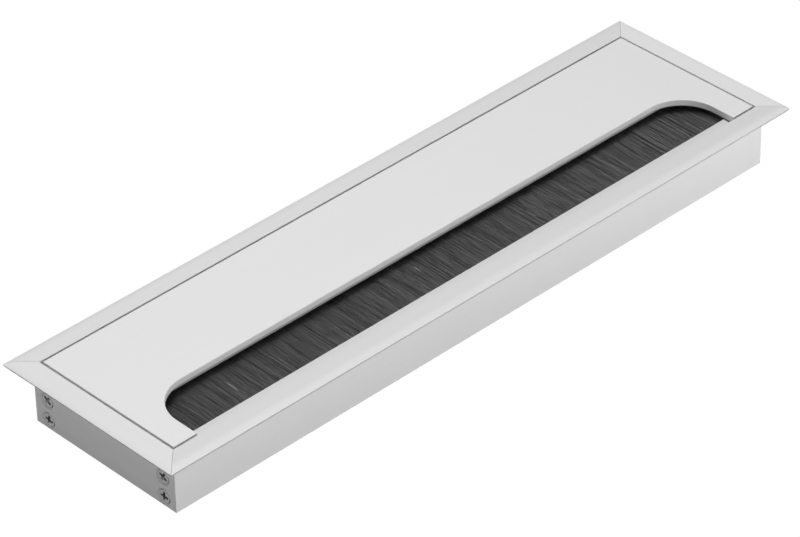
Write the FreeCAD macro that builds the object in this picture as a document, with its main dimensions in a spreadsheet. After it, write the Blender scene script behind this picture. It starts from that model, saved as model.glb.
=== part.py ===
import FreeCAD, Part
import math
import os
import Sketcher
from FreeCAD import Placement, Rotation, Vector

# Desk cable grommet: four mitred rails, a drop-in lid with a long cable slot, and a strip brush
# in a groove under the lid that closes the slot. Millimetres. The origin is under the middle of
# the frame, level with the lower edges of its walls. +X runs along the length, +Z is up, and
# the slot opens on the -Y side.

os.makedirs("parts", exist_ok=True)
doc = FreeCAD.newDocument("CableGrommet")

# Driving dimensions
dimensions = {
    # Frame, outside
    "overall_length": 280.0,
    "overall_width": 79.2,
    "overall_height": 23.4,
    "flange_overhang": 6.6,
    "flange_edge": 0.9,
    "roll_width": 2.9,
    "roll_drop": 1.05,
    "edge_tuck": 0.35,
    # Frame, section of a rail
    "wall_thickness": 1.5,
    "ledge_width": 4.75,
    "ledge_thickness": 1.4,
    "foot_break": 0.2,
    "edge_break": 0.15,
    "mitre_gap": 0.06,
    # Screws and what they go into
    "screw_inset": 5.7,
    "screw_low": 3.4,
    "screw_share": 0.63,
    "screw_sink": 0.25,
    "screw_length": 16.0,
    "head_diameter": 5.6,
    "head_angle": 90.0,
    "shank_diameter": 2.8,
    "point_length": 1.6,
    "point_diameter": 1.2,
    "recess_span": 3.4,
    "recess_width": 0.8,
    "recess_depth": 1.2,
    "screw_clearance": 0.05,
    "hole_diameter": 3.4,
    "port_diameter": 5.2,
    "port_slot": 1.2,
    "port_web": 1.6,
    # Lid
    "lid_thickness": 2.4,
    "lid_gap": 0.8,
    "slot_leg": 9.65,
    "slot_reach": 24.3,
    "slot_corner": 15.0,
    # Groove under the lid
    "groove_setback": 1.3,
    "groove_roof": 1.2,
    "groove_wall": 1.2,
    "groove_clearance": 0.1,
    "groove_end_clearance": 0.5,
    "lip_thickness": 0.8,
    "lip_height": 0.7,
    # Strip brush
    "channel_sheet": 0.5,
    "channel_bore": 3.0,
    "channel_mouth": 1.8,
    "channel_leg": 3.5,
    "channel_inset": 0.7,
    "wire_diameter": 1.3,
    "strip_clearance": 0.05,
    "fibre_inset": 0.5,
    "fibre_droop": 3.0,
    "fibre_tip_gap": 1.9,
    "tuft_pitch": 2.5,
    "tuft_notch": 0.35,
}

sheet = doc.addObject("Spreadsheet::Sheet", "Sizes")
for row, (alias, value) in enumerate(dimensions.items(), start=1):
    sheet.set(f"A{row}", alias)
    sheet.set(f"B{row}", str(value))
    sheet.setAlias(f"B{row}", alias)
doc.recompute()

# Places that several pieces share, as expressions on the sheet
half_length = "(Sizes.overall_length / 2)"
half_width = "(Sizes.overall_width / 2)"
top = "Sizes.overall_height"
wall_face_x = f"({half_length} - Sizes.flange_overhang)"
wall_face_y = f"({half_width} - Sizes.flange_overhang)"
opening_x = f"({wall_face_x} - Sizes.wall_thickness)"
opening_y = f"({wall_face_y} - Sizes.wall_thickness)"
ledge_top = f"({top} - Sizes.lid_thickness)"
ledge_under = f"({ledge_top} - Sizes.ledge_thickness)"
screw_y = f"({wall_face_y} - Sizes.screw_inset)"
lid_x = f"({opening_x} - Sizes.lid_gap)"
lid_y = f"({opening_y} - Sizes.lid_gap)"
ledge_end_x = f"({opening_x} - Sizes.ledge_width)"

slot_x = f"({lid_x} - Sizes.slot_leg)"
slot_rear = f"(Sizes.slot_reach - {lid_y})"
lip_front = f"({slot_rear} + Sizes.groove_setback)"
lip_back = f"({lip_front} + Sizes.lip_thickness)"
bore_radius = "(Sizes.channel_bore / 2)"
back_radius = f"({bore_radius} + Sizes.channel_sheet)"
mouth_y = f"({lip_back} + Sizes.groove_clearance)"
wire_y = f"({mouth_y} + Sizes.channel_leg)"
web_front = f"({wire_y} + {back_radius} + Sizes.groove_clearance)"
web_back = f"({web_front} + Sizes.groove_wall)"
groove_ceiling = f"({ledge_top} - Sizes.groove_roof)"
brush_z = f"({groove_ceiling} - {back_radius} - Sizes.groove_clearance)"
groove_floor = f"({brush_z} - {back_radius} - Sizes.groove_clearance)"
groove_under = f"({groove_floor} - Sizes.groove_wall)"
groove_end_x = f"({ledge_end_x} - Sizes.groove_end_clearance)"
channel_end_x = f"({groove_end_x} - Sizes.channel_inset)"
fibre_end_x = f"({channel_end_x} - Sizes.fibre_inset)"
fibre_tip = f"(Sizes.fibre_tip_gap - {opening_y})"
fibre_half = "(Sizes.channel_mouth / 2 - Sizes.strip_clearance)"
fibre_fall = f"(({mouth_y} - {fibre_tip}) * tan(Sizes.fibre_droop * 1 deg))"
fibre_low = f"({brush_z} - {fibre_half} - {fibre_fall})"

# The upper screw stands at a share of the height between the lower one and the fibres' tips
screw_rise = f"(Sizes.screw_share * ({fibre_low} - Sizes.screw_low))"
screw_heights = {"low": "Sizes.screw_low", "high": f"(Sizes.screw_low + {screw_rise})"}


def number(expression):
    return sheet.evalExpression(expression)


def less(expression):
    return f"(0 - {expression})"


# Sketch helpers: every corner, radius and centre is a constraint bound to the sheet

def new_sketch(body, name, role, shift=None, tilt=None):
    sketch = body.newObject("Sketcher::SketchObject", name)
    plane = next(item for item in body.Origin.OriginFeatures if item.Role == role)
    sketch.AttachmentSupport = [(plane, "")]
    sketch.MapMode = "FlatFace"
    for axis, expression in (shift or {}).items():
        sketch.setExpression(f"AttachmentOffset.Base.{axis}", expression)
    if tilt:
        sketch.AttachmentOffset = Placement(Vector(), Rotation(Vector(1, 0, 0), number(tilt)))
        sketch.setExpression("AttachmentOffset.Rotation.Angle", tilt)
    return sketch


def bind(sketch, kind, position, expression):
    index = sketch.addConstraint(Sketcher.Constraint(kind, *position, number(expression)))
    sketch.setExpression(f"Constraints[{index}]", expression)


def pin_point(sketch, geometry, end, corner):
    bind(sketch, "DistanceX", (-1, 1, geometry, end), corner[0])
    bind(sketch, "DistanceY", (-1, 1, geometry, end), corner[1])


def arc_between(start, finish, radius):
    # Counter-clockwise from start to finish, by the shorter way round
    chord = finish - start
    rise = math.sqrt(max(radius**2 - (chord.Length / 2) ** 2, 0.0))
    centre = (start + finish) / 2 + Vector(-chord.y, chord.x, 0).normalize() * rise
    circle = Part.Circle(centre, Vector(0, 0, 1), radius)
    return Part.ArcOfCircle(circle, circle.parameter(start), circle.parameter(finish))


def outline(sketch, corners, arcs=None):
    # corners are (x, y) expressions in order; arcs gives, for a corner that an arc leaves, the
    # arc's radius and whether it runs clockwise
    arcs = arcs or {}
    places = [Vector(number(x), number(y), 0) for x, y in corners]
    ends = []
    for index, start in enumerate(places):
        finish = places[(index + 1) % len(places)]
        if index not in arcs:
            geometry = sketch.addGeometry(Part.LineSegment(start, finish), False)
            ends.append((geometry, 1, 2))
            continue
        radius, clockwise = arcs[index]
        if clockwise:
            arc = arc_between(finish, start, number(radius))
            ends.append((sketch.addGeometry(arc, False), 2, 1))
        else:
            arc = arc_between(start, finish, number(radius))
            ends.append((sketch.addGeometry(arc, False), 1, 2))
    for index, (geometry, first, last) in enumerate(ends):
        following, following_first, _ = ends[(index + 1) % len(ends)]
        sketch.addConstraint(
            Sketcher.Constraint("Coincident", geometry, last, following, following_first)
        )
        pin_point(sketch, geometry, first, corners[index])
    for index, (radius, _) in arcs.items():
        bind(sketch, "Radius", (ends[index][0],), radius)


def rectangle(sketch, x_range, y_range):
    (left, right), (low, high) = x_range, y_range
    outline(sketch, [(left, low), (right, low), (right, high), (left, high)])


def circle(sketch, centre, diameter):
    place = Vector(number(centre[0]), number(centre[1]), 0)
    shape = Part.Circle(place, Vector(0, 0, 1), number(diameter) / 2)
    geometry = sketch.addGeometry(shape, False)
    pin_point(sketch, geometry, 3, centre)
    bind(sketch, "Diameter", (geometry,), diameter)


def pad(body, sketch, length, symmetric=False):
    feature = body.newObject("PartDesign::Pad", sketch.Name + "Pad")
    feature.Profile = sketch
    feature.SideType = "Symmetric" if symmetric else "One side"
    feature.setExpression("Length", length)
    return feature


def pocket_through(body, sketch, symmetric=True, reverse=False):
    doc.recompute()
    before = body.Shape.Volume
    feature = body.newObject("PartDesign::Pocket", sketch.Name + "Pocket")
    feature.Profile = sketch
    feature.Type = "ThroughAll"
    feature.SideType = "Symmetric" if symmetric else "One side"
    feature.Reversed = reverse
    doc.recompute()
    if body.Shape.Volume >= before:
        raise RuntimeError(f"{feature.Name} removed nothing")
    return feature


# Rails. A long rail's section lies in the YZ plane and an end rail's in the XZ plane, both with
# the flange's outer edge on the negative side.

def rail_section(sketch, outer_edge):
    edge = f"(0 - {outer_edge})"
    wall_face = f"({edge} + Sizes.flange_overhang)"
    wall_inside = f"({wall_face} + Sizes.wall_thickness)"
    ledge_tip = f"({wall_inside} + Sizes.ledge_width)"
    roll_foot = f"({top} - Sizes.roll_drop)"
    flange_under = f"({roll_foot} - Sizes.flange_edge)"
    roll_radius = "((Sizes.roll_width^2 + Sizes.roll_drop^2) / (2 * Sizes.roll_drop))"
    corners = [
        (f"({edge} + Sizes.edge_tuck)", flange_under),
        (wall_face, flange_under),
        (wall_face, "Sizes.foot_break"),
        (f"({wall_face} + Sizes.foot_break)", "0"),
        (wall_inside, "0"),
        (wall_inside, ledge_under),
        (ledge_tip, ledge_under),
        (ledge_tip, ledge_top),
        (wall_inside, ledge_top),
        (wall_inside, f"({top} - Sizes.edge_break)"),
        (f"({wall_inside} - Sizes.edge_break)", top),
        (f"({edge} + Sizes.roll_width)", top),
        (edge, roll_foot),
    ]
    outline(sketch, corners, {11: (roll_radius, False)})


def mitre_ends(body, name, along, across, swap):
    # A triangle off each end, its long side on the 45 degree line less half the hairline gap
    inner = "max(Sizes.ledge_width + Sizes.wall_thickness; Sizes.screw_inset + Sizes.port_diameter)"
    depth = f"(2 * Sizes.flange_overhang + {inner})"
    shift = "(Sizes.mitre_gap / sqrt(2))"
    outside = f"({shift} - {along} - Sizes.flange_overhang)"
    apex = f"({shift} - {along} + {depth})"
    far_side = f"(0 - {across} - Sizes.flange_overhang)"
    near_side = f"({depth} - {across})"
    sketch = new_sketch(body, name, "XY_Plane")
    for mirror in (1, -1):
        corners = [
            (f"({mirror} * {outside})", far_side),
            (f"({mirror} * {apex})", near_side),
            (f"({mirror} * {outside})", near_side),
        ]
        if swap:
            corners = [(y, x) for x, y in corners]
        outline(sketch, corners)
    pocket_through(body, sketch)


def long_rail(label, turn):
    body = doc.addObject("PartDesign::Body", label)
    body.Label = label
    section = new_sketch(body, label + "Section", "YZ_Plane")
    rail_section(section, half_width)
    pad(body, section, "Sizes.overall_length", symmetric=True)

    centre_y = less(screw_y)
    webs = new_sketch(body, label + "PortWebs", "YZ_Plane")
    for height in screw_heights.values():
        web_range = (f"({height} - Sizes.port_web / 2)", f"({height} + Sizes.port_web / 2)")
        rectangle(webs, (less(opening_y), centre_y), web_range)
    pad(body, webs, "Sizes.overall_length", symmetric=True)
    ports = new_sketch(body, label + "Ports", "YZ_Plane")
    for height in screw_heights.values():
        circle(ports, (centre_y, height), "Sizes.port_diameter")
    pad(body, ports, "Sizes.overall_length", symmetric=True)

    bores = new_sketch(body, label + "Bores", "YZ_Plane")
    for height in screw_heights.values():
        circle(bores, (centre_y, height), "(Sizes.shank_diameter + 2 * Sizes.screw_clearance)")
    pocket_through(body, bores)
    slots = new_sketch(body, label + "PortSlots", "YZ_Plane")
    for height in screw_heights.values():
        slot_range = (f"({height} - Sizes.port_slot / 2)", f"({height} + Sizes.port_slot / 2)")
        rectangle(slots, (centre_y, f"({centre_y} + Sizes.port_diameter)"), slot_range)
    pocket_through(body, slots)
    mitre_ends(body, label + "Mitres", half_length, half_width, swap=False)
    body.Placement = Placement(Vector(), Rotation(Vector(0, 0, 1), turn))
    return body


def end_rail(label, turn):
    body = doc.addObject("PartDesign::Body", label)
    body.Label = label
    section = new_sketch(body, label + "Section", "XZ_Plane")
    rail_section(section, half_length)
    pad(body, section, "Sizes.overall_width", symmetric=True)
    mitre_ends(body, label + "Mitres", half_width, half_length, swap=True)

    marks = new_sketch(body, label + "HoleMarks", "YZ_Plane", {"z": less(wall_face_x)})
    for height in screw_heights.values():
        for side in (1, -1):
            circle(marks, (f"({side} * {screw_y})", height), "Sizes.hole_diameter")
    doc.recompute()
    before = body.Shape.Volume
    holes = body.newObject("PartDesign::Hole", label + "Holes")
    holes.Profile = marks
    holes.DepthType = "Dimension"
    holes.setExpression("Depth", "Sizes.wall_thickness + Sizes.ledge_width / 2")
    holes.DrillPoint = "Flat"
    holes.setExpression("Diameter", "Sizes.hole_diameter")
    holes.HoleCutType = "Countersink"
    holes.HoleCutCustomValues = True
    sunk = "2 * Sizes.screw_sink * tan(Sizes.head_angle / 2 * 1 deg)"
    cut_width = f"Sizes.head_diameter + {sunk} + 2 * Sizes.screw_clearance"
    holes.setExpression("HoleCutDiameter", cut_width)
    holes.setExpression("HoleCutCountersinkAngle", "Sizes.head_angle")
    holes.Reversed = True
    doc.recompute()
    if body.Shape.Volume >= before:
        raise RuntimeError(f"{holes.Name} removed nothing")
    body.Placement = Placement(Vector(), Rotation(Vector(0, 0, 1), turn))
    return body


# One screw, its head's face in the YZ plane and its shank along +X, then its eight places

def screw_body():
    body = doc.addObject("PartDesign::Body", "ScrewPattern")
    head = "(Sizes.head_diameter / 2)"
    shank = "(Sizes.shank_diameter / 2)"
    head_depth = f"(({head} - {shank}) / tan(Sizes.head_angle / 2 * 1 deg))"
    shank_end = "(Sizes.screw_length - Sizes.point_length)"
    half = new_sketch(body, "ScrewHalf", "XZ_Plane")
    corners = [
        ("0", "0"),
        ("Sizes.screw_length", "0"),
        ("Sizes.screw_length", "(Sizes.point_diameter / 2)"),
        (shank_end, shank),
        (head_depth, shank),
        ("0", head),
    ]
    outline(half, corners)
    turned = body.newObject("PartDesign::Revolution", "ScrewTurned")
    turned.Profile = half
    turned.ReferenceAxis = (half, ["H_Axis"])
    turned.Angle = 360

    reach = "(Sizes.recess_span / 2)"
    narrow = "(Sizes.recess_width / 2)"
    cross = new_sketch(body, "ScrewRecess", "YZ_Plane")
    corners = [
        (reach, less(narrow)), (reach, narrow), (narrow, narrow), (narrow, reach),
        (less(narrow), reach), (less(narrow), narrow), (less(reach), narrow),
        (less(reach), less(narrow)), (less(narrow), less(narrow)), (less(narrow), less(reach)),
        (narrow, less(reach)), (narrow, less(narrow)),
    ]
    outline(cross, corners)
    doc.recompute()
    before = body.Shape.Volume
    recess = body.newObject("PartDesign::Pocket", "ScrewRecessPocket")
    recess.Profile = cross
    recess.Reversed = True
    recess.setExpression("Length", "Sizes.recess_depth")
    doc.recompute()
    if body.Shape.Volume >= before:
        raise RuntimeError("the screw has no recess")
    return body


def corner_screws(label):
    # How far each screw is turned where it stopped, in degrees; the far end mirrors the near one
    stops = {("low", 1): 12.0, ("high", 1): 38.0, ("low", -1): 5.0, ("high", -1): 27.0}
    pattern = screw_body()
    places = []
    for end in (-1, 1):
        for (level, side), stop in stops.items():
            place = doc.addObject("App::Link", f"Screw_{'left' if end < 0 else 'right'}_{level}")
            place.LinkedObject = pattern
            facing = Rotation(Vector(0, 0, 1), 0 if end < 0 else 180)
            place.Placement = Placement(Vector(), facing * Rotation(Vector(1, 0, 0), stop))
            face = f"({wall_face_x} - Sizes.screw_sink)"
            place.setExpression("Placement.Base.x", f"{end} * {face}")
            place.setExpression("Placement.Base.y", f"{side} * {screw_y}")
            place.setExpression("Placement.Base.z", screw_heights[level])
            places.append(place)
    group = doc.addObject("Part::Compound", label)
    group.Label = label
    group.Links = places
    return group


# Lid: a plate with the groove's ribs under it, cut back where it sits on the end ledges, then
# the slot milled in from the front edge

def lid_plate(label):
    body = doc.addObject("PartDesign::Body", label)
    body.Label = label
    plate = new_sketch(body, "LidPlate", "XY_Plane", {"z": ledge_top})
    rectangle(plate, (less(lid_x), lid_x), (less(lid_y), lid_y))
    pad(body, plate, "Sizes.lid_thickness")

    ribs = new_sketch(body, "LidRibs", "YZ_Plane")
    lip_top = f"({groove_floor} + Sizes.lip_height)"
    corners = [
        (lip_front, ledge_top), (lip_front, f"({groove_ceiling} - Sizes.lip_height)"),
        (lip_back, f"({groove_ceiling} - Sizes.lip_height)"), (lip_back, groove_ceiling),
        (web_front, groove_ceiling), (web_front, groove_floor),
        (lip_back, groove_floor), (lip_back, lip_top), (lip_front, lip_top),
        (lip_front, groove_under), (web_back, groove_under), (web_back, ledge_top),
    ]
    outline(ribs, corners)
    pad(body, ribs, f"2 * {groove_end_x}", symmetric=True)

    slot = new_sketch(body, "LidSlot", "XY_Plane", {"z": top})
    front = f"(0 - {lid_y} - Sizes.lid_gap)"
    turn_x = f"({slot_x} - Sizes.slot_corner)"
    turn_y = f"({slot_rear} - Sizes.slot_corner)"
    corners = [
        (less(slot_x), front), (slot_x, front), (slot_x, turn_y), (turn_x, slot_rear),
        (less(turn_x), slot_rear), (less(slot_x), turn_y),
    ]
    arcs = {2: ("Sizes.slot_corner", False), 4: ("Sizes.slot_corner", False)}
    outline(slot, corners, arcs)
    doc.recompute()
    before = body.Shape.Volume
    cut = body.newObject("PartDesign::Pocket", "LidSlotCut")
    cut.Profile = slot
    cut.setExpression("Length", "Sizes.lid_thickness")
    doc.recompute()
    if body.Shape.Volume >= before:
        raise RuntimeError("the lid has no slot")

    # Every edge of the top face is broken, round the outside and along the slot
    lid_top = number(top)
    rim = [
        f"Edge{index}" for index, edge in enumerate(cut.Shape.Edges, start=1)
        if edge.BoundBox.ZMin > lid_top - number("Sizes.edge_break") / 2
    ]
    edges = body.newObject("PartDesign::Chamfer", "LidEdgeBreak")
    edges.Base = (cut, rim)
    edges.setExpression("Size", "Sizes.edge_break")
    return body


# Strip brush: sheet folded to a channel with its legs crimped in, fibres folded round a wire

def brush_channel(label):
    body = doc.addObject("PartDesign::Body", label)
    body.Label = label
    section = new_sketch(body, "ChannelSection", "YZ_Plane")
    mouth = "(Sizes.channel_mouth / 2)"
    mouth_outside = f"({mouth} + Sizes.channel_sheet)"
    corners = [
        (mouth_y, f"({brush_z} - {mouth_outside})"),
        (wire_y, f"({brush_z} - {back_radius})"),
        (f"({wire_y} + {back_radius})", brush_z),
        (wire_y, f"({brush_z} + {back_radius})"),
        (mouth_y, f"({brush_z} + {mouth_outside})"),
        (mouth_y, f"({brush_z} + {mouth})"),
        (wire_y, f"({brush_z} + {bore_radius})"),
        (f"({wire_y} + {bore_radius})", brush_z),
        (wire_y, f"({brush_z} - {bore_radius})"),
        (mouth_y, f"({brush_z} - {mouth})"),
    ]
    arcs = {
        1: (back_radius, False), 2: (back_radius, False),
        6: (bore_radius, True), 7: (bore_radius, True),
    }
    outline(section, corners, arcs)
    pad(body, section, f"2 * {channel_end_x}", symmetric=True)
    return body


def brush_core_wire(label):
    body = doc.addObject("PartDesign::Body", label)
    body.Label = label
    section = new_sketch(body, "WireSection", "YZ_Plane")
    circle(section, (wire_y, brush_z), "Sizes.wire_diameter")
    pad(body, section, f"2 * {channel_end_x}", symmetric=True)
    return body


def brush_bristles(label):
    body = doc.addObject("PartDesign::Body", label)
    body.Label = label
    fold_radius = f"({bore_radius} - Sizes.strip_clearance)"
    section = new_sketch(body, "FibreSection", "YZ_Plane")
    corners = [
        (fibre_tip, fibre_low),
        (mouth_y, f"({brush_z} - {fibre_half})"),
        (wire_y, f"({brush_z} - {fold_radius})"),
        (f"({wire_y} + {fold_radius})", brush_z),
        (wire_y, f"({brush_z} + {fold_radius})"),
        (mouth_y, f"({brush_z} + {fibre_half})"),
        (fibre_tip, f"({brush_z} + {fibre_half} - {fibre_fall})"),
    ]
    outline(section, corners, {2: (fold_radius, False), 3: (fold_radius, False)})
    circle(section, (wire_y, brush_z), "(Sizes.wire_diameter + 2 * Sizes.strip_clearance)")
    pad(body, section, f"2 * {fibre_end_x}", symmetric=True)

    # Valleys between the tufts, above and below, along the fibres from the mouth to the tips
    count = f"floor(2 * {fibre_end_x} / Sizes.tuft_pitch) - 1"
    first = f"(0 - ({count} - 1) * Sizes.tuft_pitch / 2)"
    valley = new_sketch(
        body, "TuftValley", "XZ_Plane", {"y": brush_z, "z": less(mouth_y)}, "Sizes.fibre_droop"
    )
    spread = "(2 * Sizes.tuft_notch)"
    for side in (1, -1):
        crest = f"({side} * ({fibre_half} + Sizes.tuft_notch))"
        floor_of_valley = f"({side} * ({fibre_half} - Sizes.tuft_notch))"
        outline(valley, [
            (f"({first} - {spread})", crest),
            (first, floor_of_valley),
            (f"({first} + {spread})", crest),
        ])
    cut = pocket_through(body, valley, symmetric=False, reverse=True)
    tufts = body.newObject("PartDesign::LinearPattern", "Tufts")
    tufts.Originals = [cut]
    tufts.Direction = (valley, ["H_Axis"])
    tufts.Mode = "Spacing"
    tufts.setExpression("Offset", "Sizes.tuft_pitch")
    tufts.setExpression("Occurrences", count)
    body.Tip = tufts
    return body


subparts = [
    long_rail("front_rail", 0),
    long_rail("rear_rail", 180),
    end_rail("left_end_rail", 0),
    end_rail("right_end_rail", 180),
    corner_screws("corner_screws"),
    lid_plate("lid"),
    brush_channel("brush_channel"),
    brush_core_wire("brush_core_wire"),
    brush_bristles("brush_bristles"),
]
doc.recompute()

for item in doc.Objects:
    if "Invalid" in item.State or "Error" in item.State:
        raise RuntimeError(f"{item.Label} failed: {item.State}")
for subpart in subparts:
    if subpart.Shape.isNull() or not subpart.Shape.isValid():
        raise RuntimeError(f"{subpart.Label} has no valid shape")
for subpart in subparts:
    subpart.Shape.exportStep(f"parts/{subpart.Label}.step")
    box = subpart.Shape.BoundBox
    print(f"{subpart.Label}: {len(subpart.Shape.Solids)} solids, {subpart.Shape.Volume:.1f} mm3,",
          f"x {box.XMin:.2f} {box.XMax:.2f}, y {box.YMin:.2f} {box.YMax:.2f},",
          f"z {box.ZMin:.2f} {box.ZMax:.2f}")
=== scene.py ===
import math
import random

import bmesh
import bpy
from mathutils import Matrix, Vector


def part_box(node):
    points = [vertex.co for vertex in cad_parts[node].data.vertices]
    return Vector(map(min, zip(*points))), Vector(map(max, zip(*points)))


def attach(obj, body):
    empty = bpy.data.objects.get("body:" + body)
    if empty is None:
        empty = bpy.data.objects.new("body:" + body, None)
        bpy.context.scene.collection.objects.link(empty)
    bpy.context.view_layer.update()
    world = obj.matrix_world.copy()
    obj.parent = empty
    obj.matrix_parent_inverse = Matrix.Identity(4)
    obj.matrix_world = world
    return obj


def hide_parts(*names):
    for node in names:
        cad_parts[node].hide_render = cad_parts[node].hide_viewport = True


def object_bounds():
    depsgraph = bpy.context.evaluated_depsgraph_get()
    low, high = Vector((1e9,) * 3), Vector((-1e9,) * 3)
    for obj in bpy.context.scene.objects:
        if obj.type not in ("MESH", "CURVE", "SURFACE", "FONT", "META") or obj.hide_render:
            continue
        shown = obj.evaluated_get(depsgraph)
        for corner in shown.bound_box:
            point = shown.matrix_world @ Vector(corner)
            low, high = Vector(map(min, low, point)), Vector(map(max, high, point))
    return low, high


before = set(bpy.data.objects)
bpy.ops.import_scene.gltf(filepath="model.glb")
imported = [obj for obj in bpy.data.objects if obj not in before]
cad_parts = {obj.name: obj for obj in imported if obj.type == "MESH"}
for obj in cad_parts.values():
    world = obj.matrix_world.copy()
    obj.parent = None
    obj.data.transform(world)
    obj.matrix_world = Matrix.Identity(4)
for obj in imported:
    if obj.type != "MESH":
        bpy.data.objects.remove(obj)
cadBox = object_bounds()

mm = 0.001
weldReach = 1e-7
noiseRoughness = 0.55
# In millimetres, from the middle of the underside
halfLength, halfWidth, frameTop = (reach / mm for reach in cadBox[1])
scene = bpy.context.scene
scene.view_settings.view_transform = "Standard"
print("frame loaded:", ", ".join(sorted(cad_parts)))


# Shader maths: a Signal is one output socket, and sums, differences and products add Math nodes

class Signal:
    def __init__(self, tree, socket=None):
        self.tree = tree
        self.socket = socket

    def node(self, kind, settings=None, inputs=None, output=0):
        made = self.tree.nodes.new(kind)
        for name, value in (settings or {}).items():
            setattr(made, name, value)
        for name, value in (inputs or {}).items():
            if isinstance(value, Signal):
                self.tree.links.new(value.socket, made.inputs[name])
            else:
                made.inputs[name].default_value = value
        return Signal(self.tree, made.outputs[output])

    def math(self, operation, first, second):
        return self.node("ShaderNodeMath", {"operation": operation}, {0: first, 1: second})

    def __add__(self, other):
        return self.math("ADD", self, other)

    def __sub__(self, other):
        return self.math("SUBTRACT", self, other)

    def __rsub__(self, other):
        return self.math("SUBTRACT", other, self)

    def __mul__(self, other):
        return self.math("MULTIPLY", self, other)

    __radd__ = __add__
    __rmul__ = __mul__

    def larger(self, other):
        return self.math("MAXIMUM", self, other)

    def above(self, other):
        return self.math("GREATER_THAN", self, other)

    def size(self):
        return self.math("ABSOLUTE", self, 0.0)


def grey(tone, warmth=0.0):
    # A grey, a little warmer where warmth is above zero and cooler below it
    return (tone * (1 + warmth), tone, tone * (1 - warmth), 1.0)


def mixColours(factor, first, second):
    return factor.node(
        "ShaderNodeMix", {"data_type": "RGBA"}, {"Factor": factor, 6: first, 7: second}, output=2
    )


def objectCoords(start):
    return start.node("ShaderNodeTexCoord", output=3)


def objectPlace(start):
    # X, Y and Z on the object, in millimetres
    parts = start.node("ShaderNodeSeparateXYZ", {}, {0: objectCoords(start)}).socket.node.outputs
    return [Signal(start.tree, part) * (1 / mm) for part in parts]


def stretchedNoise(start, size, detail):
    # Noise whose cells are size millimetres along X, Y and Z
    placed = start.node(
        "ShaderNodeMapping", {"vector_type": "POINT"},
        {"Vector": objectCoords(start), "Scale": [1 / (length * mm) for length in size]},
    )
    return start.node(
        "ShaderNodeTexNoise", {},
        {"Vector": placed, "Scale": 1.0, "Detail": detail, "Roughness": noiseRoughness},
    )


def newMaterial(name):
    material = bpy.data.materials.new(name)
    material.use_nodes = True
    shader = material.node_tree.nodes["Principled BSDF"]
    return material, shader, Signal(material.node_tree)


def connect(start, shader, links):
    for name, signal in links.items():
        start.tree.links.new(signal.socket, shader.inputs[name])


def asObject(made, name):
    mesh = bpy.data.meshes.new(name)
    made.to_mesh(mesh)
    made.free()
    item = bpy.data.objects.new(name, mesh)
    scene.collection.objects.link(item)
    return item


def evaluatedMesh(item):
    bpy.context.view_layer.update()
    return bpy.data.meshes.new_from_object(
        item.evaluated_get(bpy.context.evaluated_depsgraph_get())
    )


# Painted shade, dark mitre joints and a flattened roll, beyond what the aluminium's form gives

shading = {
    # Widths are from the flange's outline and depths from the top of the frame, in millimetres
    # The flange's border: its roll is shaded in part as flat land, and its edge face gets painted
    # shade
    "borderWidth": 4.0,
    "rollDepth": 1.2,
    "rollLand": 0.52,
    "edgeDepth": 1.94,
    "edgeShade": 0.40,
    # The mitres' arrises across the rim, this far either side of each joint
    "rimWidth": 8.2,
    "mitreReach": 0.11,
    "mitreShade": 0.3,
    # Painted shade on the slot's cut in the lid: a painted contact shadow along its lower arris, and
    # painted shade that grows by cutShade with each millimetre past cutTurn
    "arrisDepth": 2.18,
    "arrisShade": 0.42,
    "cutDepth": 0.05,
    "cutTurn": 106.0,
    "cutEnd": 121.6,
    "cutShade": 0.013,
    # Painted contact shadow on the ledge beside the lid's two legs
    "legSide": 120.85,
    "ledgeDepth": 2.3,
    "ledgeShade": 0.9,
}


def onBorder(x, y, z):
    # Where the flange's roll is, and how dark the painted shade on its edge face and the mitres'
    # joints are
    border, rim = (
        (x.size() - (halfLength - width)).larger(y.size() - (halfWidth - width)).above(0.0)
        for width in (shading["borderWidth"], shading["rimWidth"])
    )
    high = z.above(frameTop - shading["rollDepth"])
    roll = border * high
    edge = border * z.above(frameTop - shading["edgeDepth"]) - roll
    fromMitre = (x.size() - y.size() - (halfLength - halfWidth)).size()
    mitre = (shading["mitreReach"] - fromMitre).above(0.0) * rim * high
    return roll, edge * shading["edgeShade"] + mitre * shading["mitreShade"]


def onCut(x, z):
    # How dark the painted contact shadow along the lower arris of the slot's cut is, and the painted
    # shade on its rounded end at +X
    arris = (frameTop - shading["arrisDepth"] - z).above(0.0)
    below = (frameTop - shading["cutDepth"] - z).above(0.0)
    within = (shading["cutEnd"] - x.size()).above(0.0) * below
    turn = (x - shading["cutTurn"]).larger(0.0) * within
    return arris * shading["arrisShade"] + turn * shading["cutShade"]


def besideLegs(x, y, z):
    # How dark the ledge is under the lid's legs and close beside them, in their contact shadow
    inside = (halfWidth - shading["rimWidth"] - y.size()).above(0.0)
    low = (frameTop - shading["ledgeDepth"] - z).above(0.0)
    return (x.size() - shading["legSide"]).above(0.0) * inside * low * shading["ledgeShade"]


def landNormal(start, roll):
    # Turns the shading of the roll part of the way back to the flat of the rim
    upright = start.node(
        "ShaderNodeVectorTransform",
        {"vector_type": "NORMAL", "convert_from": "OBJECT", "convert_to": "WORLD"},
        {"Vector": (0, 0, 1)},
    )
    facing = start.node("ShaderNodeNewGeometry", output=1)
    return start.node(
        "ShaderNodeMix", {"data_type": "VECTOR"},
        {"Factor": roll * shading["rollLand"], 4: facing, 5: upright}, output=1,
    )


# Anodised aluminium: satin grain, with the die's faint lines along each extrusion

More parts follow.
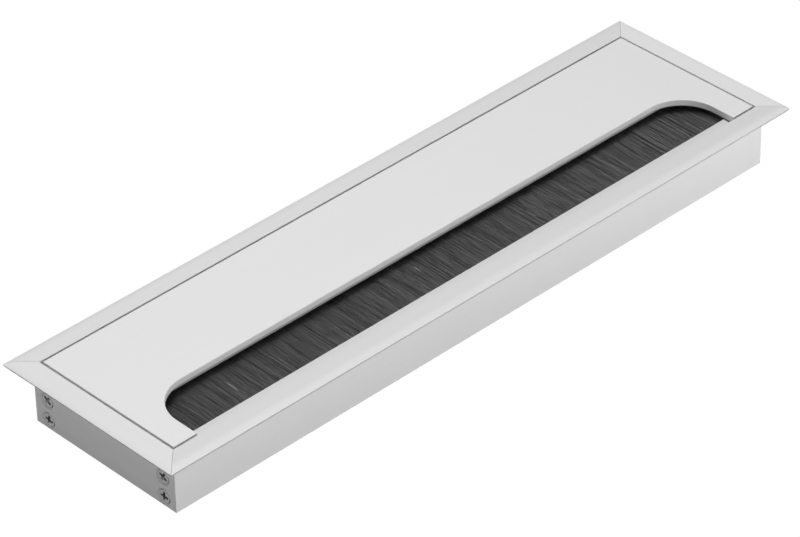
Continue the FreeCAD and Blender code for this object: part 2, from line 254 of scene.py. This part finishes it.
aluminium = {
    # The imported solids keep their shape. Each extrusion's own tone is painted sheen: it stands in
    # for how the direction of its grain catches the lamps
    "sheenTones": {
        "front_rail": 0.705,
        "rear_rail": 0.737,
        "left_end_rail": 0.77,
        "right_end_rail": 0.803,
        "lid": 0.80,
    },
    "toneSwing": 0.048,
    "metallic": 0.14,
    "roughness": 0.58,
    "roughnessSwing": 0.08,
    "lineLength": 60.0,
    "lineWidth": 0.35,
    "grainSize": 0.14,
    "cloudSize": 45.0,
    # Shares of lines, grain and cloud in the tone, and of lines and grain in the relief
    "toneShares": (0.5, 0.35, 0.15),
    "reliefShares": (0.6, 0.4),
    "bumpStrength": 0.10,
    "bumpHeight": 0.02,
}


def anodisedAluminium(node, tone):
    material, shader, start = newMaterial("anodised_" + node)
    x, y, z = objectPlace(start)
    roll, shade = onBorder(x, y, z)
    if node == "lid":
        shade = shade + onCut(x, z)
    if node == "front_rail":
        shade = shade + besideLegs(x, y, z)
    length, width = aluminium["lineLength"], aluminium["lineWidth"]
    lineSize = (width, length, width) if node.endswith("end_rail") else (length, width, width)
    lines = stretchedNoise(start, lineSize, detail=2.0)
    grain = stretchedNoise(start, (aluminium["grainSize"],) * 3, detail=2.0)
    cloud = stretchedNoise(start, (aluminium["cloudSize"],) * 3, detail=1.0)
    lineShare, grainShare, cloudShare = aluminium["toneShares"]
    texture = lines * lineShare + grain * grainShare + cloud * cloudShare
    swing = aluminium["toneSwing"]
    colour = mixColours(texture, grey(tone * (1 - swing)), grey(tone * (1 + swing)))
    # Painted shade, with the dark mitre joints: shade darkens the colour toward black
    colour = mixColours(shade, colour, grey(0.0))
    rough = (grain - 0.5) * aluminium["roughnessSwing"] + aluminium["roughness"]
    lineRelief, grainRelief = aluminium["reliefShares"]
    bump = start.node(
        "ShaderNodeBump", {},
        {"Strength": aluminium["bumpStrength"], "Distance": aluminium["bumpHeight"] * mm,
         "Height": lines * lineRelief + grain * grainRelief, "Normal": landNormal(start, roll)},
    )
    shader.inputs["Metallic"].default_value = aluminium["metallic"]
    connect(start, shader, {"Base Color": colour, "Roughness": rough, "Normal": bump})
    return material


def finishNode(node, material):
    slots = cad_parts[node].data.materials
    slots.clear()
    slots.append(material)


# Painted sheen: each extrusion's tone differs by how its grain faces the lamps
for node, tone in aluminium["sheenTones"].items():
    finishNode(node, anodisedAluminium(node, tone))


# Bright zinc on the screws, and the galvanised sheet and wire of the strip brush

plating = {
    "screws": {"tone": 0.30, "metallic": 0.75, "roughness": 0.36, "spangle": 0.8},
    "sheet": {"tone": 0.36, "metallic": 0.7, "roughness": 0.5, "spangle": 1.6},
    "toneSwing": 0.2,
    "darkWarmth": -0.01,
    "lightWarmth": 0.012,
    "roughnessSwing": 0.22,
    "fineSize": 0.09,
    "fineShare": 0.3,
    "bumpStrength": 0.2,
    "bumpHeight": 0.015,
}


def zincPlating(name, tone, metallic, roughness, spangle):
    material, shader, start = newMaterial(name)
    patches = stretchedNoise(start, (spangle,) * 3, detail=3.0)
    fine = stretchedNoise(start, (plating["fineSize"],) * 3, detail=2.0)
    texture = patches * (1 - plating["fineShare"]) + fine * plating["fineShare"]
    dark = grey(tone * (1 - plating["toneSwing"]), plating["darkWarmth"])
    light = grey(tone * (1 + plating["toneSwing"]), plating["lightWarmth"])
    rough = (patches - 0.5) * plating["roughnessSwing"] + roughness
    bump = start.node(
        "ShaderNodeBump", {},
        {"Strength": plating["bumpStrength"], "Distance": plating["bumpHeight"] * mm,
         "Height": fine},
    )
    shader.inputs["Metallic"].default_value = metallic
    colour = mixColours(texture, dark, light)
    connect(start, shader, {"Base Color": colour, "Roughness": rough, "Normal": bump})
    return material


galvanised = zincPlating("galvanised_steel", **plating["sheet"])
for node in ("brush_channel", "brush_core_wire"):
    finishNode(node, galvanised)
print("aluminium and brush metal finished")


# Corner screws: countersunk heads with a tapered cross recess, and a rolled thread on each shank

screws = {
    "length": 16.0,
    # The solids' heads have this radius, which tells where the screws' axes are
    "solidRadius": 2.8,
    # Depth and radius at the face's edge, on the rounded rim and at the start of the cone
    "headCorners": ((0.0, 2.38), (0.105, 2.4472), (0.336, 2.464)),
    "headDepth": 1.5,
    "neckLength": 0.4,
    "pointLength": 1.6,
    "tipLength": 0.15,
    "tipRadius": 0.45,
    "segments": 40,
    "rootRadius": 1.12,
    "threadRadius": 1.4,
    "threadPitch": 0.8,
    "threadSink": 0.1,
    "threadSteps": 18,
    # Shares of the pitch at which the thread's crest starts, its crest ends and its ridge ends
    "threadShares": (0.42, 0.58, 0.95),
    # The recess's cutter starts in front of the head: its spans and widths there and at its foot
    "cutterLead": 0.1,
    "cutterDepth": 1.8,
    "cutterSpans": (3.604, 1.5),
    "cutterWidths": (1.0, 0.6),
    # How far each screw is turned where it stopped: level, side of the frame, degrees
    "stops": (("low", 1, 12), ("high", 1, 38), ("low", -1, 5), ("high", -1, 27)),
}


def weld(made):
    bmesh.ops.remove_doubles(made, verts=made.verts, dist=weldReach)
    bmesh.ops.recalc_face_normals(made, faces=made.faces)


def addTo(whole, part):
    # Moves all of one bmesh into another
    carrier = bpy.data.meshes.new("carrier")
    part.to_mesh(carrier)
    part.free()
    whole.from_mesh(carrier)
    bpy.data.meshes.remove(carrier)


def screwBlank():
    # Spins the outline of head, neck, core and point round the X axis
    coneEnd = (screws["headDepth"], screws["threadRadius"])
    neckEnd = (screws["headDepth"] + screws["neckLength"], screws["rootRadius"])
    pointStart = (screws["length"] - screws["pointLength"], screws["rootRadius"])
    tip = (screws["length"] - screws["tipLength"], screws["tipRadius"])
    outline = (
        (0.0, 0.0), *screws["headCorners"], coneEnd, neckEnd, pointStart, tip, (screws["length"], 0.0)
    )
    made = bmesh.new()
    points = [made.verts.new((x * mm, 0, radius * mm)) for x, radius in outline]
    edges = [made.edges.new(pair) for pair in zip(points, points[1:])]
    bmesh.ops.spin(
        made, geom=points + edges, cent=(0, 0, 0), axis=(1, 0, 0), angle=math.tau,
        steps=screws["segments"], use_merge=True,
    )
    weld(made)
    return asObject(made, "screwBlank")


def recessWing(turn):
    # The cutter for one of the recess's two crossing wings, narrower and shorter towards its foot
    made = bmesh.new()
    bmesh.ops.create_cube(made, size=1.0)
    for vert in made.verts:
        end = 1 if vert.co.x > 0 else 0
        x = screws["cutterDepth"] if end else -screws["cutterLead"]
        y = vert.co.y * screws["cutterSpans"][end]
        z = vert.co.z * screws["cutterWidths"][end]
        vert.co = Vector((x, y, z)) * mm
    bmesh.ops.rotate(made, verts=made.verts, matrix=Matrix.Rotation(turn, 3, "X"))
    return asObject(made, "recessWing")


def threadedShank():
    # A ridge wound round the core as one helical strip, its ends sunk in the core
    made = bmesh.new()
    pitch, crest = screws["threadPitch"], screws["threadRadius"]
    sunk = screws["rootRadius"] - screws["threadSink"]
    start = screws["headDepth"] + screws["neckLength"]
    turns = int((screws["length"] - screws["pointLength"] - start) / pitch)
    crestStart, crestEnd, ridgeEnd = (pitch * share for share in screws["threadShares"])
    section = ((0.0, sunk), (crestStart, crest), (crestEnd, crest), (ridgeEnd, sunk))
    points = [made.verts.new(((start + x) * mm, 0, radius * mm)) for x, radius in section]
    first = made.faces.new(points)
    steps = screws["threadSteps"] * turns
    bmesh.ops.spin(
        made, geom=[first], cent=(0, 0, 0), axis=(1, 0, 0), angle=math.tau * turns,
        dvec=(pitch * turns / steps * mm, 0, 0), steps=steps, use_merge=False,
    )
    weld(made)
    return made


def oneScrew():
    blank = screwBlank()
    wings = [recessWing(turn) for turn in (0, math.pi / 2)]
    for wing in wings:
        cut = blank.modifiers.new("recess", "BOOLEAN")
        cut.operation, cut.solver, cut.object = "DIFFERENCE", "EXACT", wing
    made = bmesh.new()
    made.from_mesh(evaluatedMesh(blank))
    addTo(made, threadedShank())
    for item in [blank] + wings:
        bpy.data.objects.remove(item)
    return made


def placeScrews():
    low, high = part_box("corner_screws")
    radius = screws["solidRadius"] * mm
    heights = {"low": low.z + radius, "high": high.z - radius}
    pattern = oneScrew()
    made = bmesh.new()
    for face, facing in ((low.x, 0.0), (high.x, math.pi)):
        for level, side, stop in screws["stops"]:
            spot = Vector((face, side * (high.y - radius), heights[level]))
            turned = Matrix.Rotation(facing, 4, "Z") @ Matrix.Rotation(math.radians(stop), 4, "X")
            copy = pattern.copy()
            bmesh.ops.transform(copy, verts=copy.verts, matrix=Matrix.Translation(spot) @ turned)
            addTo(made, copy)
    pattern.free()
    return asObject(made, "corner_screw_set")


screwSet = placeScrews()
screwSet.data.materials.append(zincPlating("bright_zinc", **plating["screws"]))
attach(screwSet, "root")
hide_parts("corner_screws")
print("screws made:", len(screwSet.data.polygons), "faces")


# Strip brush: each fibre is bent round the core wire and leaves the channel above and below it

fibres = {
    "count": 4500,
    "seed": 7,
    "thickness": 0.18,
    "boxMargin": 1.2,
    "droop": math.radians(1.0),
    "packHalf": 0.72,
    "layerFrom": 0.06,
    # The two legs: side of the wire, looseness, and shares of the way to the tip that have a corner
    "legs": ((1, 1.0, (0.0, 0.5, 1.0)), (-1, 0.2, (0.0, 1.0))),
    "tipLoss": 0.48,
    "waver": 0.03,
    "leanSpread": 0.02,
    # Tufts lean together by one of the drifts, and are lifted by another
    "tuftPitch": 2.5,
    "tuftPull": 0.08,
    "tuftLift": 0.22,
    "liftAtMouth": 0.7,
    "leanDrift": 0.014,
    "driftCount": 400,
    "liftStep": 7,
    "liftStart": 31,
    # Shades: most fibres are close, and these shares of them are pale and dark
    "common": (0.40, 0.76),
    "pale": 1.45,
    "paleShare": 0.04,
    "dark": 0.12,
    "darkShare": 0.17,
    "streakWidth": 0.5,
    "streakSpread": 0.11,
    "streakCount": 1000,
}

packLow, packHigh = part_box("brush_bristles")
wireLow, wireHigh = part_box("brush_core_wire")
wire = (wireLow + wireHigh) / 2
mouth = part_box("brush_channel")[0].y
fibreRadius = fibres["thickness"] / 2 * mm
margin = fibreRadius * fibres["boxMargin"]


def fibreLeg(x, drifts, side, looseness, shares):
    # From the channel's mouth to the tip, leaning, gathered to its tuft and wavering
    tuft = round(x / (fibres["tuftPitch"] * mm))
    toTuft = tuft * fibres["tuftPitch"] * mm - x
    drift = drifts[tuft % len(drifts)]
    lift = drifts[(tuft * fibres["liftStep"] + fibres["liftStart"]) % len(drifts)]
    layer = side * random.uniform(fibres["layerFrom"], 1.0) * fibres["packHalf"] * mm
    lean = looseness * (drift * fibres["leanDrift"] + random.gauss(0, fibres["leanSpread"]))
    tip = packLow.y + fibreRadius + abs(random.gauss(0, fibres["tipLoss"])) * mm
    corners = []
    for share in shares:
        out = (mouth - tip) * share
        gather = toTuft * fibres["tuftPull"] * share * looseness
        waver = random.gauss(0, fibres["waver"]) * mm * share * looseness
        across = x + gather + lean * out + waver
        grown = fibres["liftAtMouth"] + (1 - fibres["liftAtMouth"]) * share
        rise = layer + lift * fibres["tuftLift"] * mm * grown * looseness
        z = wire.z + rise - out * math.tan(fibres["droop"])
        across = min(max(across, packLow.x + margin), packHigh.x - margin)
        z = min(max(z, packLow.z + margin), packHigh.z - margin)
        corners.append((across, mouth - out, z))
    return corners


def fibreRoute(x, drifts):
    # Back from the upper tip, round the wire and forward to the lower tip
    wireRadius = (wireHigh.z - wireLow.z) / 2
    foldReach = packHigh.y - wire.y - fibreRadius
    fold = random.uniform(wireRadius + fibreRadius, foldReach)
    upper, lower = [fibreLeg(x, drifts, *leg) for leg in fibres["legs"]]
    bend = [(x, wire.y, wire.z + fold), (x, wire.y + fold, wire.z), (x, wire.y, wire.z - fold)]
    return upper[::-1] + bend + lower


def fibreShade():
    pick = random.random()
    if pick > 1 - fibres["paleShare"]:
        return fibres["pale"]
    if pick < fibres["darkShare"]:
        return fibres["dark"]
    return random.uniform(*fibres["common"])


def fibreSection():
    # Three corners are enough for a fibre this thin
    section = bpy.data.curves.new("fibreSection", "CURVE")
    section.dimensions = "2D"
    triangle = section.splines.new("POLY")
    triangle.points.add(2)
    triangle.use_cyclic_u = True
    for index, point in enumerate(triangle.points):
        angle = math.tau * index / 3
        point.co = (fibreRadius * math.cos(angle), fibreRadius * math.sin(angle), 0, 1)
    item = bpy.data.objects.new("fibreSection", section)
    scene.collection.objects.link(item)
    return item


def makeFibres():
    random.seed(fibres["seed"])
    drifts = [random.uniform(-1, 1) for _ in range(fibres["driftCount"])]
    streaks = [random.gauss(0, fibres["streakSpread"]) for _ in range(fibres["streakCount"])]
    section = fibreSection()
    pack = bpy.data.curves.new("fibrePack", "CURVE")
    pack.dimensions = "3D"
    pack.bevel_mode = "OBJECT"
    pack.bevel_object = section
    pack.use_fill_caps = True
    pack.twist_mode = "Z_UP"
    shades = []
    for number in range(fibres["count"]):
        along = (number + random.random()) / fibres["count"]
        x = packLow.x + margin + (packHigh.x - packLow.x - 2 * margin) * along
        route = fibreRoute(x, drifts)
        spline = pack.splines.new("POLY")
        spline.points.add(len(route) - 1)
        for point, corner in zip(spline.points, route):
            point.co = (*corner, 1)
        streak = int((x - packLow.x) / (fibres["streakWidth"] * mm))
        shades.append(fibreShade() + streaks[streak % len(streaks)])
    packItem = bpy.data.objects.new("fibrePack", pack)
    scene.collection.objects.link(packItem)
    mesh = evaluatedMesh(packItem)
    for item in (packItem, section):
        bpy.data.objects.remove(item)

    each = len(mesh.vertices) // fibres["count"]
    shade = mesh.attributes.new("fibreShade", "FLOAT", "POINT")
    for index, item in enumerate(shade.data):
        item.value = shades[index // each]
    mesh.name = "brush_fibres"
    brush = bpy.data.objects.new("brush_fibres", mesh)
    scene.collection.objects.link(brush)
    return brush, each


nylon = {
    "dark": 0.033,
    "light": 0.22,
    "lightWarmth": -0.01,
    "roughness": 0.36,
    "roughnessSwing": 0.2,
    "index": 1.7,
    "shadeGain": 0.4,
    "bandGain": 0.1,
    "bandSize": (0.9, 6.0, 4.0),
    "grooveSize": (0.05, 1.2, 0.05),
    "bumpStrength": 0.15,
    "bumpHeight": 0.01,
    # Painted light: the fibres are made brighter with each millimetre toward their tips, and painted
    # shade darkens them behind tipFrom
    "tipLightGain": 0.03,
    "tipFrom": -14.0,
}


def nylonFibre():
    material, shader, start = newMaterial("dark_nylon")
    shade = start.node(
        "ShaderNodeAttribute", {"attribute_type": "GEOMETRY", "attribute_name": "fibreShade"},
        output=2,
    )
    bands = stretchedNoise(start, nylon["bandSize"], detail=2.0)
    grooves = stretchedNoise(start, nylon["grooveSize"], detail=1.0)
    # Painted light toward the fibres' tips and painted shade behind tipFrom, scaling their tone
    tipLight = (nylon["tipFrom"] - objectPlace(start)[1]) * nylon["tipLightGain"] + 1.0
    factor = (shade * nylon["shadeGain"] + bands * nylon["bandGain"]) * tipLight
    colour = mixColours(factor, grey(nylon["dark"]), grey(nylon["light"], nylon["lightWarmth"]))
    rough = (bands - 0.5) * nylon["roughnessSwing"] + nylon["roughness"]
    bump = start.node(
        "ShaderNodeBump", {},
        {"Strength": nylon["bumpStrength"], "Distance": nylon["bumpHeight"] * mm, "Height": grooves},
    )
    shader.inputs["IOR"].default_value = nylon["index"]
    connect(start, shader, {"Base Color": colour, "Roughness": rough, "Normal": bump})
    return material


brush, vertsEach = makeFibres()
brush.data.materials.append(nylonFibre())
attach(brush, "root")
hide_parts("brush_bristles")
print("fibres made:", fibres["count"], "with", vertsEach, "points each")


# Floor and surroundings, which show as white while they light the object less

surroundings = {
    "floorSize": 8.0,
    "floorDrop": 0.05,
    "floorTone": 0.42,
    "floorWhite": 0.93,
    "floorGlow": 1.06,
}


def seenDirectly(start):
    lightPath = start.node("ShaderNodeLightPath")
    outputs = lightPath.socket.node.outputs
    camera, glossy, through = (
        Signal(start.tree, outputs[name])
        for name in ("Is Camera Ray", "Is Glossy Ray", "Is Transmission Ray")
    )
    return camera.larger(glossy).larger(through)


def makeFloor():
    made = bmesh.new()
    bmesh.ops.create_grid(made, x_segments=2, y_segments=2, size=surroundings["floorSize"] / 2)
    bmesh.ops.translate(made, verts=made.verts, vec=(0, 0, -surroundings["floorDrop"] * mm))
    floor = asObject(made, "floor")
    material = bpy.data.materials.new("white_floor")
    material.use_nodes = True
    tree = material.node_tree
    tree.nodes.clear()
    start = Signal(tree)
    paper = start.node("ShaderNodeBsdfDiffuse", {}, {"Color": grey(surroundings["floorTone"])})
    glow = start.node(
        "ShaderNodeEmission", {}, {"Color": grey(1.0), "Strength": surroundings["floorGlow"]}
    )
    mixed = start.node(
        "ShaderNodeMixShader", {},
        {0: seenDirectly(start) * surroundings["floorWhite"], 1: paper, 2: glow},
    )
    end = tree.nodes.new("ShaderNodeOutputMaterial")
    tree.links.new(mixed.socket, end.inputs["Surface"])
    floor.data.materials.append(material)


def makeSky():
    world = bpy.data.worlds.new("studio")
    world.use_nodes = True
    scene.world = world
    start = Signal(world.node_tree)
    background = world.node_tree.nodes["Background"]
    background.inputs["Color"].default_value = grey(1.0)
    world.node_tree.links.new(seenDirectly(start).socket, background.inputs["Strength"])


makeFloor()
makeSky()
print("floor and surroundings made")


# Studio lamps: soft boxes high up, and low strips round the walls

onFloor, onWalls = (0.0, 0.0, 0.0), (0.0, 0.0, 0.01)
lamps = {
    "overhead": {"place": (0.0, 0.17, 1.00), "aim": onFloor, "size": (0.6, 0.22), "watts": 5.4},
    "frontHigh": {"place": (0.0, -0.75, 0.75), "aim": onFloor, "size": (0.5, 0.2), "watts": 0.75},
    "rightHigh": {"place": (0.36, 0.30, 0.90), "aim": onFloor, "size": (0.4, 0.3), "watts": 0.26},
    "leftHigh": {"place": (-0.45, 0.16, 1.00), "aim": onFloor, "size": (0.5, 0.26), "watts": 1.65},
    "front": {"place": (0.0, -0.95, 0.19), "aim": onWalls, "size": (0.4, 0.06), "watts": 3.8},
    "frontRight": {"place": (0.35, -0.88, 0.07), "aim": onWalls, "size": (0.4, 0.06), "watts": 1.05},
    "left": {"place": (-0.80, 0.0, 0.15), "aim": onWalls, "size": (0.3, 0.1), "watts": 0.34},
    "rear": {"place": (0.0, 0.95, 0.15), "aim": onWalls, "size": (0.6, 0.1), "watts": 1.6},
    "lowRight": {
        "place": (0.30, -0.22, 0.026), "aim": (0.10, 0.0, 0.01), "size": (0.10, 0.012), "watts": 0.22,
    },
}
# These light the walls without a glare on the lid
lowLamps = ("front", "frontRight", "left", "rear", "lowRight")


def makeLamp(name, place, aim, size, watts):
    light = bpy.data.lights.new(name, "AREA")
    light.shape = "RECTANGLE"
    light.size, light.size_y = size
    light.energy = watts
    lamp = bpy.data.objects.new(name, light)
    lamp.location = place
    direction = Vector(aim) - Vector(place)
    lamp.rotation_euler = direction.to_track_quat("-Z", "Y").to_euler()
    lamp.visible_camera = False
    lamp.visible_glossy = name not in lowLamps
    scene.collection.objects.link(lamp)


for name, values in lamps.items():
    makeLamp(name, **values)


# Camera: the photograph's place, direction and focal length

camera = {
    "lens": 190.39,
    "sensor": 36.0,
    "place": (-0.77657, -0.81488, 0.81607),
    "right": (0.717718, -0.696117, -0.017378),
    "up": (0.416346, 0.408994, 0.812023),
    "forward": (0.558155, 0.590039, -0.583368),
}


def makeCamera():
    optics = bpy.data.cameras.new("photoCamera")
    optics.lens = camera["lens"]
    optics.sensor_fit = "HORIZONTAL"
    optics.sensor_width = camera["sensor"]
    item = bpy.data.objects.new("photoCamera", optics)
    axes = Matrix((camera["right"], camera["up"], [-part for part in camera["forward"]])).transposed()
    item.matrix_world = Matrix.Translation(camera["place"]) @ axes.to_4x4()
    scene.collection.objects.link(item)
    scene.camera = item


makeCamera()
print("lamps and camera placed")
